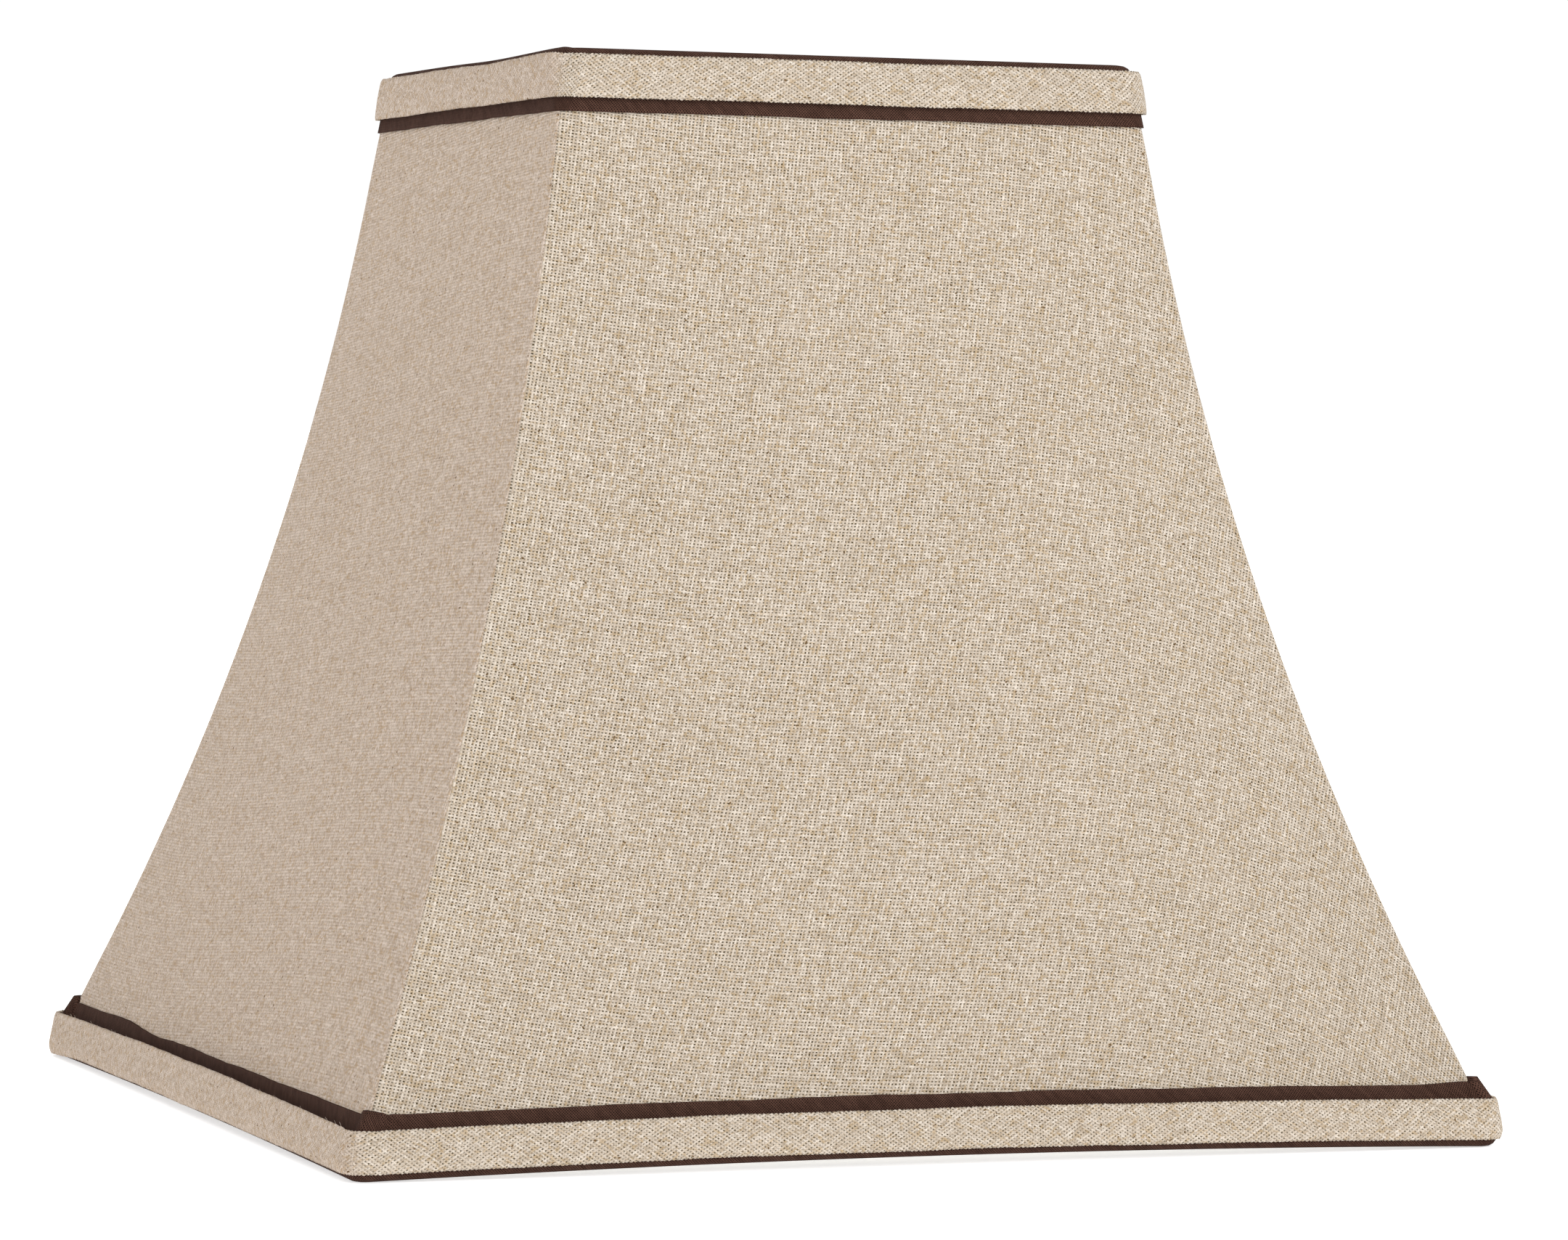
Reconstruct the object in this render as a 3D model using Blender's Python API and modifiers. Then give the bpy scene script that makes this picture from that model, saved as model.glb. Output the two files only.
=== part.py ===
"""Square bell lamp shade: four flared linen sides on a wire frame, bound with tape at both rims.

Run it with  blender --background --python part.py  or from Blender's text editor.
Lengths are in metres and +Z is up. The origin is on the shade's axis, level with the lowest points
of the bottom rim, and the front faces -Y.
"""

import math

import bmesh
import bpy
from mathutils import Matrix, Vector

MM = 0.001
QUARTER = math.radians(90)
SIDES = ("front", "right", "back", "left")
CORNERS = ("front_left", "front_right", "back_right", "back_left")

# Driving dimensions: a 5 1/4 in top, a 10 in bottom and 9 in of height, measured over the trim.
HEIGHT = 228.6 * MM
BOTTOM_WIDTH = 255.0 * MM
TOP_WIDTH = 134.5 * MM
FLARE_SAG = 7.9 * MM  # how far the sides curve in from a straight line between the rims
BELLY = 3.0 * MM  # how far a side swells out between its corners, at mid height
FRONT_ARCH = 1.7 * MM  # rise of the bottom rim between its corners, at the front and back
SIDE_ARCH = 0.7 * MM  # the same at the left and right

# Layers of the wall, from the outside in. Depth is measured inwards from the linen's outer face.
CLEARANCE = 0.2 * MM
BAND_THICKNESS = 0.6 * MM
TAPE_THICKNESS = 0.4 * MM
LINEN_THICKNESS = 0.5 * MM
LINING_THICKNESS = 0.4 * MM
RING_WIRE_RADIUS = 1.3 * MM
FRAME_WIRE_RADIUS = 1.2 * MM  # ribs and spider arms
TRIM_THICKNESS = BAND_THICKNESS + TAPE_THICKNESS + 2 * CLEARANCE
WIRE_DEPTH = LINEN_THICKNESS + CLEARANCE + RING_WIRE_RADIUS
LINING_DEPTH = WIRE_DEPTH + RING_WIRE_RADIUS + CLEARANCE
TAPE_OUTER_DEPTH = -CLEARANCE - TAPE_THICKNESS / 2
TAPE_INNER_DEPTH = LINING_DEPTH + LINING_THICKNESS + CLEARANCE + TAPE_THICKNESS / 2

# Heights above the base, or below the top for the top rim.
RING_INSET = TAPE_THICKNESS + 2 * CLEARANCE + RING_WIRE_RADIUS
LINEN_INSET = 2.6 * MM
BOTTOM_TAPE_REACH = 12.7 * MM
TOP_TAPE_REACH = 13.3 * MM
TAPE_MIDDLE_SHARE = 0.6  # a row of points this far up the tape's outer leg
TAPE_INNER_REACH = 9.0 * MM
BOTTOM_BAND_INSET = 1.5 * MM
BOTTOM_BAND_WIDTH = 8.6 * MM
TOP_BAND_INSET = 1.6 * MM
TOP_BAND_WIDTH = 8.9 * MM

# How the bands lean, each measured in from its widest line.
BOTTOM_BAND_TUCK = 0.4 * MM  # at the lower edge
BOTTOM_BAND_ROUND = 2.0 * MM  # height of the widest line above the lower edge
BOTTOM_BAND_LEAN = 2.1 * MM  # at the upper edge
TOP_BAND_ROUND = 1.5 * MM  # from the upper edge down to where it starts to turn in
TOP_BAND_LEAN = 0.3 * MM  # there
TOP_BAND_TUCK = 0.8 * MM  # at the upper edge

# Corner roundings of the linen's outer face.
RIM_CORNER_RADIUS = 5.2 * MM
RIB_CORNER_RADIUS = 2.0 * MM
RIM_BLEND = 25.0 * MM  # height over which the rim's rounding turns into the rib's
LEAST_RADIUS = 0.8 * MM
SEAM_GAP = 0.3 * MM

# Fitter: a washer for the lamp's harp, on four arms from the top ring.
SPIDER_DROP = 12.7 * MM
WASHER_RADIUS = 12.7 * MM
WASHER_HOLE_RADIUS = 5.55 * MM
WASHER_THICKNESS = 2.0 * MM
WASHER_EDGE = 0.3 * MM
ARM_BEND_RADIUS = 3.0 * MM
ARM_GAP = 0.3 * MM
RIB_GAP = 0.6 * MM  # between a rib's end and the ring it stands on
SLIT_WIDTH = 3.2 * MM
SLIT_HEIGHT = 7.0 * MM
SLIT_CUT_DEPTH = 8.0 * MM

# Mesh density.
CORNER_STEPS = 2  # in each half of a corner
SIDE_STEPS = 6
PANEL_ROWS = 12
RIB_POINTS = 14
BEND_STEPS = 4
FOLD_STEPS = 4  # in the tape's half turn round a ring
WASHER_STEPS = 32
WIRE_SIDES = 2  # bevel resolution: eight sides
SMOOTH_ANGLE = math.radians(35)  # the washer's broken edges stay sharp

COLOURS = {
    "oatmeal_linen": ((0.61, 0.52, 0.40), 0.85, 0.0),
    "brown_tape": ((0.055, 0.033, 0.025), 0.70, 0.0),
    "lining_cloth": ((0.80, 0.76, 0.68), 0.80, 0.0),
    "nickel_wire": ((0.62, 0.60, 0.57), 0.30, 1.0),
}


def clear_scene():
    for thing in list(bpy.data.objects):
        bpy.data.objects.remove(thing, do_unlink=True)


def new_collection(name):
    collection = bpy.data.collections.new(name)
    bpy.context.scene.collection.children.link(collection)
    return collection


def material(name):
    """The named Principled material, made the first time it is asked for."""
    if name in bpy.data.materials:
        return bpy.data.materials[name]
    colour, roughness, metallic = COLOURS[name]
    made = bpy.data.materials.new(name)
    made.use_nodes = True
    shader = made.node_tree.nodes["Principled BSDF"]
    shader.inputs["Base Color"].default_value = (*colour, 1.0)
    shader.inputs["Roughness"].default_value = roughness
    shader.inputs["Metallic"].default_value = metallic
    made.diffuse_color = (*colour, 1.0)
    return made


# The shape of the wall


def wall_half(height, depth=0.0):
    """Half the shade's width at this height, at a depth inside the linen's outer face.

    The face is an arc, hollow from outside, so layers at other depths are arcs with its centre.
    """
    low = Vector((BOTTOM_WIDTH / 2 - TRIM_THICKNESS, RING_INSET))
    high = Vector((TOP_WIDTH / 2 - TRIM_THICKNESS, HEIGHT - TOP_BAND_INSET - TOP_BAND_WIDTH))
    chord = high - low
    radius = chord.length_squared / (8 * FLARE_SAG) + FLARE_SAG / 2
    outward = Vector((chord.y, -chord.x)).normalized()
    centre = (low + high) / 2 + outward * (radius - FLARE_SAG)
    return centre.x - math.sqrt((radius + depth) ** 2 - (height - centre.y) ** 2)


def corner_centre(height):
    """How far from the axis the corners are rounded about: wide at the rings, tight at the ribs."""
    from_rim = min(height, HEIGHT - height) / RIM_BLEND
    blend = max(0.0, 1.0 - from_rim) ** 2
    radius = RIB_CORNER_RADIUS + (RIM_CORNER_RADIUS - RIB_CORNER_RADIUS) * blend
    return wall_half(height) - radius


def belly(height):
    """How far the middle of a side stands out from its corners at this height."""
    share = height / HEIGHT
    return BELLY * 4 * share * (1 - share)


def arch(height, side):
    """The bottom rim's arch, which dies away up the side."""
    at_rim = FRONT_ARCH if side % 2 == 0 else SIDE_ARCH
    return at_rim * (1 - height / HEIGHT) ** 3


def side_row(half, height, side, seam=0.0):
    """Points along the front, mid corner to mid corner, with the arch of the side they are turned to."""
    radius = max(half - corner_centre(height), LEAST_RADIUS)
    flat = half - radius
    turn = QUARTER / 2 - seam / (2 * radius)
    outline = []
    for step in range(CORNER_STEPS):
        angle = turn * (1 - step / CORNER_STEPS)
        outline.append((-flat - radius * math.sin(angle), -flat - radius * math.cos(angle)))
    for step in range(SIDE_STEPS + 1):
        x = flat * (2 * step / SIDE_STEPS - 1)
        outline.append((x, -half - belly(height) * (1 - (x / flat) ** 2)))
    for x, y in reversed(outline[:CORNER_STEPS]):
        outline.append((-x, y))
    rise = arch(height, side)
    return [Vector((x, y, height + rise * (1 - (x / half) ** 2))) for x, y in outline]


def closed_row(half, height):
    """The level line right round the shade, from four side rows."""
    loop = []
    for side in range(len(SIDES)):
        turn = Matrix.Rotation(side * QUARTER, 3, "Z")
        loop += [turn @ point for point in side_row(half, height, side)[:-1]]
    return loop


# Builders


def add_object(name, data, collection, parent, material_name):
    obj = bpy.data.objects.new(name, data)
    collection.objects.link(obj)
    obj.parent = parent
    data.materials.append(material(material_name))
    return obj


def grid_mesh(name, rows, closed):
    """A surface through rows of points, listed so that its faces look away from the axis."""
    mesh = bpy.data.meshes.new(name)
    shape = bmesh.new()
    grid = [[shape.verts.new(point) for point in row] for row in rows]
    columns = len(rows[0])
    for lower, upper in zip(grid, grid[1:]):
        for left in range(columns if closed else columns - 1):
            right = (left + 1) % columns
            shape.faces.new((lower[left], lower[right], upper[right], upper[left]))
    shape.to_mesh(mesh)
    shape.free()
    mesh.shade_smooth()
    return mesh


def thicken(obj, thickness, offset):
    """Solidify: an offset of -1 grows inwards from the surface, and 0 to both sides."""
    solidify = obj.modifiers.new("thickness", "SOLIDIFY")
    solidify.thickness = thickness
    solidify.offset = offset
    solidify.use_even_offset = True


def wire(name, points, radius, closed, collection, parent):
    """A wire of round section through the points."""
    curve = bpy.data.curves.new(name, "CURVE")
    curve.dimensions = "3D"
    curve.bevel_depth = radius
    curve.bevel_resolution = WIRE_SIDES
    curve.use_fill_caps = True
    spline = curve.splines.new("POLY")
    spline.points.add(len(points) - 1)
    for place, point in zip(spline.points, points):
        place.co = (*point, 1.0)
    spline.use_cyclic_u = closed
    spline.use_smooth = True
    return add_object(name, curve, collection, parent, "nickel_wire")


# The wire frame


def make_ring(name, height, collection, parent):
    points = closed_row(wall_half(height, WIRE_DEPTH), height)
    wire(name, points, RING_WIRE_RADIUS, True, collection, parent)


def make_ribs(collection, parent):
    """Four curved wires in the corners, butted on the rings."""
    low = RING_INSET + RING_WIRE_RADIUS + RIB_GAP
    high = HEIGHT - low
    points = []
    for step in range(RIB_POINTS):
        height = low + (high - low) * step / (RIB_POINTS - 1)
        centre = corner_centre(height)
        spread = max(wall_half(height, WIRE_DEPTH) - centre, 0.0)
        half = centre + spread * math.sqrt(0.5)
        points.append(Vector((-half, -half, height)))
    for index, corner in enumerate(CORNERS):
        rib = wire(f"corner_rib_{corner}", points, FRAME_WIRE_RADIUS, False, collection, parent)
        rib.rotation_euler.z = index * QUARTER


def arm_path():
    """The front arm: down from the top ring inside the lining, then level to the washer."""
    level = HEIGHT - RING_INSET - SPIDER_DROP
    top = HEIGHT - RING_INSET - RING_WIRE_RADIUS - ARM_GAP
    outer_top = wall_half(top, WIRE_DEPTH) + belly(top)
    outer_low = wall_half(level + ARM_BEND_RADIUS, WIRE_DEPTH) + belly(level + ARM_BEND_RADIUS)
    points = [Vector((0, -outer_top, top))]
    for step in range(BEND_STEPS + 1):
        angle = QUARTER * step / BEND_STEPS
        inward = ARM_BEND_RADIUS * (1 - math.cos(angle))
        drop = ARM_BEND_RADIUS * (1 - math.sin(angle))
        points.append(Vector((0, inward - outer_low, level + drop)))
    points.append(Vector((0, -WASHER_RADIUS - ARM_GAP, level)))
    return points


def make_spider(collection, parent):
    points = arm_path()
    for index, side in enumerate(SIDES):
        arm = wire(f"spider_arm_{side}", points, FRAME_WIRE_RADIUS, False, collection, parent)
        arm.rotation_euler.z = index * QUARTER
    make_washer(collection, parent)


def make_washer(collection, parent):
    """A flat washer with broken edges, turned from its section."""
    half = WASHER_THICKNESS / 2
    section = [
        (WASHER_RADIUS - WASHER_EDGE, half),
        (WASHER_RADIUS, half - WASHER_EDGE),
        (WASHER_RADIUS, WASHER_EDGE - half),
        (WASHER_RADIUS - WASHER_EDGE, -half),
        (WASHER_HOLE_RADIUS + WASHER_EDGE, -half),
        (WASHER_HOLE_RADIUS, WASHER_EDGE - half),
        (WASHER_HOLE_RADIUS, half - WASHER_EDGE),
        (WASHER_HOLE_RADIUS + WASHER_EDGE, half),
    ]
    mesh = bpy.data.meshes.new("spider_washer")
    shape = bmesh.new()
    corners = [shape.verts.new((x, 0, z)) for x, z in section]
    for first, second in zip(corners, corners[1:] + corners[:1]):
        shape.edges.new((first, second))
    shape.to_mesh(mesh)
    shape.free()
    mesh.shade_smooth()
    mesh.set_sharp_from_angle(angle=SMOOTH_ANGLE)
    washer = add_object("spider_washer", mesh, collection, parent, "nickel_wire")
    washer.location.z = HEIGHT - RING_INSET - SPIDER_DROP
    turned = washer.modifiers.new("turned", "SCREW")
    turned.steps = WASHER_STEPS
    turned.render_steps = WASHER_STEPS
    turned.use_merge_vertices = True
    turned.merge_threshold = 0.01 * MM


# The fabric


def side_mesh(name, depth, side):
    """The whole of one side at this depth, between the two rims."""
    rows = []
    for step in range(PANEL_ROWS + 1):
        height = LINEN_INSET + (HEIGHT - 2 * LINEN_INSET) * step / PANEL_ROWS
        rows.append(side_row(wall_half(height, depth), height, side, SEAM_GAP))
    return grid_mesh(name, rows, closed=False)


def make_panels(collection, parent):
    """The four linen sides, which meet at the corner seams."""
    for side, side_name in enumerate(SIDES):
        mesh = side_mesh(f"panel_{side_name}", 0.0, side)
        panel = add_object(f"panel_{side_name}", mesh, collection, parent, "oatmeal_linen")
        panel.rotation_euler.z = side * QUARTER
        thicken(panel, LINEN_THICKNESS, -1)


def make_slit_cutter(side, collection):
    """A slot through the lining, for the spider arm."""
    bpy.ops.mesh.primitive_cube_add(size=1)
    cutter = bpy.context.active_object
    cutter.name = f"slit_{SIDES[side]}"
    bpy.context.collection.objects.unlink(cutter)
    collection.objects.link(cutter)
    level = HEIGHT - RING_INSET - SPIDER_DROP
    lining_half = wall_half(level, LINING_DEPTH)
    middle = Vector((0, -lining_half, level + SLIT_HEIGHT / 2 - FRAME_WIRE_RADIUS - ARM_GAP))
    size = Vector((SLIT_WIDTH, SLIT_CUT_DEPTH, SLIT_HEIGHT))
    turn = Matrix.Rotation(side * QUARTER, 4, "Z")
    cutter.data.transform(turn @ Matrix.Translation(middle) @ Matrix.Diagonal((*size, 1)))
    cutter.hide_render = True
    cutter.display_type = "WIRE"
    return cutter


def make_lining(collection, cutters, parent):
    """The four lining sides inside the ribs, each slit for its spider arm."""
    for side, side_name in enumerate(SIDES):
        mesh = side_mesh(f"lining_{side_name}", LINING_DEPTH, side)
        lining = add_object(f"lining_{side_name}", mesh, collection, parent, "lining_cloth")
        lining.rotation_euler.z = side * QUARTER
        thicken(lining, LINING_THICKNESS, -1)
        slit = lining.modifiers.new("slit", "BOOLEAN")
        slit.operation = "DIFFERENCE"
        slit.object = make_slit_cutter(side, cutters)


def make_tape(name, outer_reach, at_top, collection, parent):
    """The brown tape, folded over a ring: the rows of points run from its outer edge to its inner."""

    def height_of(reach):
        return HEIGHT - reach if at_top else reach

    outer_leg = [outer_reach, outer_reach * TAPE_MIDDLE_SHARE, LINEN_INSET]
    inner_leg = [LINEN_INSET, TAPE_INNER_REACH]
    rows = [(wall_half(height_of(reach), TAPE_OUTER_DEPTH), reach) for reach in outer_leg]
    ring_half = wall_half(height_of(RING_INSET), WIRE_DEPTH)
    spread = (TAPE_INNER_DEPTH - TAPE_OUTER_DEPTH) / 2
    drop = RING_INSET - TAPE_THICKNESS / 2
    for step in range(1, FOLD_STEPS):
        angle = 2 * QUARTER * step / FOLD_STEPS
        rows.append((ring_half + spread * math.cos(angle), RING_INSET - drop * math.sin(angle)))
    rows += [(wall_half(height_of(reach), TAPE_INNER_DEPTH), reach) for reach in inner_leg]
    if not at_top:
        rows.reverse()
    mesh = grid_mesh(name, [closed_row(half, height_of(reach)) for half, reach in rows], closed=True)
    tape = add_object(name, mesh, collection, parent, "brown_tape")
    thicken(tape, TAPE_THICKNESS, 0)


def make_band(name, rows, collection, parent):
    """The linen band over the tape, from the half-width and height of the middle of its cloth."""
    mesh = grid_mesh(name, [closed_row(half, height) for half, height in rows], closed=True)
    band = add_object(name, mesh, collection, parent, "oatmeal_linen")
    thicken(band, BAND_THICKNESS, 0)


def make_bands(collection, parent):
    """Both bands lean less than the wall, and their rim edges turn in a little."""
    half = BOTTOM_WIDTH / 2 - BAND_THICKNESS / 2
    bottom = [
        (half - BOTTOM_BAND_TUCK, BOTTOM_BAND_INSET),
        (half, BOTTOM_BAND_INSET + BOTTOM_BAND_ROUND),
        (half - BOTTOM_BAND_LEAN, BOTTOM_BAND_INSET + BOTTOM_BAND_WIDTH),
    ]
    make_band("bottom_linen_band", bottom, collection, parent)
    half = TOP_WIDTH / 2 - BAND_THICKNESS / 2
    upper_edge = HEIGHT - TOP_BAND_INSET
    top = [
        (half, upper_edge - TOP_BAND_WIDTH),
        (half - TOP_BAND_LEAN, upper_edge - TOP_BAND_ROUND),
        (half - TOP_BAND_TUCK, upper_edge),
    ]
    make_band("top_linen_band", top, collection, parent)


def main():
    clear_scene()
    shade = new_collection("lamp_shade")
    cutters = new_collection("cutters")
    root = bpy.data.objects.new("lamp_shade", None)
    shade.objects.link(root)
    make_ring("bottom_ring", RING_INSET, shade, root)
    make_ring("top_ring", HEIGHT - RING_INSET, shade, root)
    make_ribs(shade, root)
    make_spider(shade, root)
    make_panels(shade, root)
    make_lining(shade, cutters, root)
    make_tape("bottom_brown_tape", BOTTOM_TAPE_REACH, False, shade, root)
    make_tape("top_brown_tape", TOP_TAPE_REACH, True, shade, root)
    make_bands(shade, root)


main()
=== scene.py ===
"""Looks for a square bell lamp shade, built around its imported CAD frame.

The wire rings, ribs, spider arms and washer keep their CAD shapes. The cloth is built here as thin
sheets over them: four linen sides, four lining sides, two folded brown tapes and two bias-cut bands.
Lengths are in metres and +Z is up. The shade stands on the floor at the origin and its front faces -Y.
"""

import math
import random

import bpy
import numpy as np
from mathutils import Matrix, Vector

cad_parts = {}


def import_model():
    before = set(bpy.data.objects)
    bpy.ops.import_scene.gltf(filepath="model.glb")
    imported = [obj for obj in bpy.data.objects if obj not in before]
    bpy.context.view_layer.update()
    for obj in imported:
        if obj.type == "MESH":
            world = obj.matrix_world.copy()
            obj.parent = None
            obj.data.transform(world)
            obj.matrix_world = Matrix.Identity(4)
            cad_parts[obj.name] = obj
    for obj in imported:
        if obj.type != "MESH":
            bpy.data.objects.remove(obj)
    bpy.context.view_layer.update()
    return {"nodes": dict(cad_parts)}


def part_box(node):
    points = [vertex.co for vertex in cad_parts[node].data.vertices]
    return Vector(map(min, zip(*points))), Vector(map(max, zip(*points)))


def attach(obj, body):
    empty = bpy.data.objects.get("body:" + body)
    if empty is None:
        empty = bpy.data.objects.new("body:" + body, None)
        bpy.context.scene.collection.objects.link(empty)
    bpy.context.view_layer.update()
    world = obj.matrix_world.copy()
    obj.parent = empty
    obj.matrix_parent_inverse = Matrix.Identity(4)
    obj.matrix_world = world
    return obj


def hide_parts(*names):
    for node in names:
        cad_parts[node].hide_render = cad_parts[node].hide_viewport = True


MM = 0.001
SIDES = ("front", "right", "back", "left")
EIGHTH_TURN = math.radians(45)
SEED = 7

# Picture and camera
PICTURE_WIDTH = 2160
SENSOR_WIDTH = 36.0
FOCAL_PIXELS = 8631
CAMERA_PLACE = (-0.4710, -1.3095, 0.1551)
CAMERA_YAW = math.radians(20.16)
CAMERA_PITCH = math.radians(-1.99)
CAMERA_ROLL = math.radians(0.72)
CAMERA_SHIFT = (-0.0009, 0.0)
CLIP_START = 0.05

# Light
WORLD_STRENGTH = 1.03
KEY_PLACE = (0.9, -2.2, 1.5)
KEY_POWER = 38
KEY_SIZE = 1.6
KEY_TARGET = (0, 0, 0.11)  # the point that it faces
FLOOR_RADIUS = 30
FLOOR_GLOW = 0.6  # the floor is a lit sheet, which keeps shadows faint

# The linen wall
FLARE_RADIUS = 799.6 * MM  # the sides curve in along an arc of this radius
LINEN_OVER_RING = 0.7 * MM  # from the outside of a ring to the outer face of the linen
BELLY = 3.0 * MM  # how far a side swells out between its corners, at mid height
FRONT_ARCH = 1.7 * MM  # rise of the bottom rim between its corners, at the front and back
SIDE_ARCH = 0.7 * MM
RIM_CORNER_RADIUS = 5.2 * MM
RIB_CORNER_RADIUS = 1.3 * MM
RIM_BLEND = 25.0 * MM  # from a rim to where its rounder corners end
LEAST_RADIUS = 0.6 * MM
CORNER_STEP = 0.4 * MM  # at most, from one point to the next round a corner
HALF_CORNER_POINTS = 3  # at least
SEAM_GAP = 0.04 * MM  # between two sides where they meet at a corner
LINEN_THICKNESS = 0.45 * MM
LINEN_INSET = 2.6 * MM  # from a rim to the edge of the linen
PANEL_STEP = 1.6 * MM
SLACK_HEIGHT = 0.22 * MM  # of the long soft waves in the stretched linen
SLACK_LENGTHS = (58 * MM, 37 * MM)
SLACK_PHASES = (0.3, 0.7)  # turns by which the waves of one side lead the next, across and up

# The lining, inside the ribs
LINING_DEPTH = 3.5 * MM
LINING_THICKNESS = 0.35 * MM
LINING_STEP = 4.0 * MM
SLIT_SIZE = (3.2 * MM, 8.0 * MM, 7.0 * MM)  # across, through the lining, and up
SLIT_RISE = 2.0 * MM  # from the spider arm to the middle of its slit

# The folded brown tape
TAPE_THICKNESS = 0.34 * MM
TAPE_DEPTH = -0.34 * MM  # of the middle of its outer leg, from the linen's outer face
TAPE_INNER_DEPTH = 4.3 * MM
TAPE_INNER_REACH = 9.0 * MM
TAPE_DROP = 1.9 * MM  # from a ring's centre to the middle of the fold
BOTTOM_TAPE_REACH = 12.7 * MM
TOP_TAPE_REACH = 13.3 * MM
EAR_ROOT = 9.8 * MM  # height at which the tape comes out from under the band
EAR_WIDTH = 3.2 * MM
EAR_LEAN = 0.36  # share of an ear's stand-off that is lost from there to the tape's edge
TIP_OFFSET = 1.0 * MM  # from the middle of an ear to its tip
TIP_WIDTH = 1.1 * MM
TUCK_DEPTH = 0.5 * MM
TUCK_WIDTH = 0.6 * MM
NOTCH_HEIGHT = 0.35 * MM  # of the dip that a tuck makes in the edge
PLEAT_HEIGHT = 0.08 * MM
PLEAT_LENGTH = 0.9 * MM
TAPE_EDGE_DEPTH = 0.02 * MM  # its outer edge is pressed on to the linen
TAPE_EASE = 0.06 * MM  # how far its outer leg stands off everywhere
TAPE_LEG_SHARES = (1.0, 0.85, 0.65, 0.45, 0.25, 0.0)  # of the way from EAR_ROOT to its edge
TAPE_UNDER_BAND = (  # (distance from the rim, share of the ear that is left there)
    (8.0 * MM, 0.8),
    (6.0 * MM, 0.4),
    (4.0 * MM, 0.1),
    (2.6 * MM, 0.0),
)
TAPE_INNER_LEG = (2.6 * MM, 5.5 * MM, TAPE_INNER_REACH)
TAPE_FOLD_STEPS = 8
TAPE_WANDER = 0.09 * MM  # how far its edge strays from a straight line
TAPE_WANDER_LENGTHS = (47 * MM, 19 * MM, 8.3 * MM)
WANDER_PHASES = (1.7, 2.3)  # radians from side to side, and from one length to the next
TRIM_STEP = 0.22 * MM
GAP_SHADING_BLEND = 24  # columns over which a strip's gap shading changes from one side to the next

# How the bottom tape is gathered at each corner, in millimetres, from the front left corner on to the
# front right. Places run along the rim from mid corner, to the right seen from outside. The tape's
# edge is lifted from one place to another, with a ramp at each. It stands off the linen in an ear (how
# far, and where), whose tip is a little higher still, and beside that is a tuck.
CORNER_FOLDS = (
    {"lift": 1.0, "from": (-4.2, 0.4), "to": (4.8, 3.2), "ear": (1.5, 0.0), "tip": 0.0, "tuck": 5.6},
    {"lift": 0.8, "from": (-9.0, 5.0), "to": (5.0, 1.0), "ear": (2.9, 0.5), "tip": 0.9, "tuck": -2.2},
    {"lift": 0.9, "from": (-5.0, 2.0), "to": (4.0, 0.8), "ear": (1.8, 0.4), "tip": 0.3, "tuck": 3.4},
    {"lift": 1.3, "from": (-4.0, 0.8), "to": (4.6, 0.7), "ear": (2.1, 0.5), "tip": 0.0, "tuck": 5.4},
)

# The linen band over the tape
BAND_THICKNESS = 0.6 * MM
BAND_WANDER = 0.08 * MM
BAND_WANDER_LENGTHS = (63 * MM, 27 * MM, 11 * MM)
LEFT_SPREAD = 0.6 * MM  # how far the tape's edge drops and the band's two edges part, mid left
LEFT_TAPE_WAVES = (  # (place from the back left corner, width, height) of waves in its upper edge
    (50 * MM, 15 * MM, 0.6 * MM),
    (80 * MM, 12 * MM, -0.4 * MM),
)
TOP_LEFT_WAVES = (  # (distance from the front left corner, width, height) of waves in the top rim
    (0 * MM, 24 * MM, 0.35 * MM),
    (52 * MM, 22 * MM, -0.3 * MM),
)
TOP_WAVE_FADE = 3.0 * MM  # the waves die away this close to the corner
BAND_HANG = 1.3 * MM  # how far the band's lower edge hangs down at the back left corner
BAND_HANG_WIDTH = 22.0 * MM
CORNER_OUT = 0.9 * MM  # how far the corners of its upper edge are pushed out by the tape's folds
CORNER_OUT_WIDTH = 4.0 * MM
CORNER_OUT_START = 3.6  # height, in millimetres, above which they are pushed out
CORNER_OUT_RISE = 6.0  # height over which the push grows to its full size
SCALLOP_LENGTH = 0.9 * MM
SCALLOP_HEIGHT = 0.13 * MM
RAGGEDNESS = 0.5  # of the cut threads, against the scallops
RAGGED_RUN = 5  # columns over which it is smoothed
BAND_REACH = 10.0  # millimetres from a rim to about its band's far edge
BOTTOM_BAND_ROWS = (  # (height above the base, distance in from the widest line)
    (10.1, 1.85),
    (9.7, 1.55),
    (8.6, 1.2),
    (7.0, 0.8),
    (5.2, 0.3),
    (4.0, 0.03),
    (3.3, 0.0),
    (2.7, 0.12),
    (2.2, 0.32),
    (1.9, 0.55),
)
TOP_BAND_ROWS = (  # (distance below the top, distance in from the widest line)
    (1.6, 0.85),
    (2.0, 0.55),
    (2.8, 0.4),
    (4.0, 0.28),
    (6.0, 0.12),
    (8.5, 0.0),
    (10.0, 0.02),
    (10.45, 0.12),
)

# Loose thread ends at the bottom band's upper edge
FIBRE_RADIUS = 0.045 * MM
FIBRE_POINTS = 5
FIBRE_LENGTHS = (0.5 * MM, 1.5 * MM)
FIBRE_LEAN = 0.9  # radians, at most, to either side
FIBRE_CURL = 0.8
FIBRE_OUTWARD = 0.35  # how far its end stands out, against its length
FIBRE_TAPER = 0.5
FIBRE_SPREAD = (-0.9, 0.95)  # how far along a side they reach, against its half width
FIBRE_COUNTS = (6, 7, 8, 70)  # on the front, right, back and left

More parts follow.
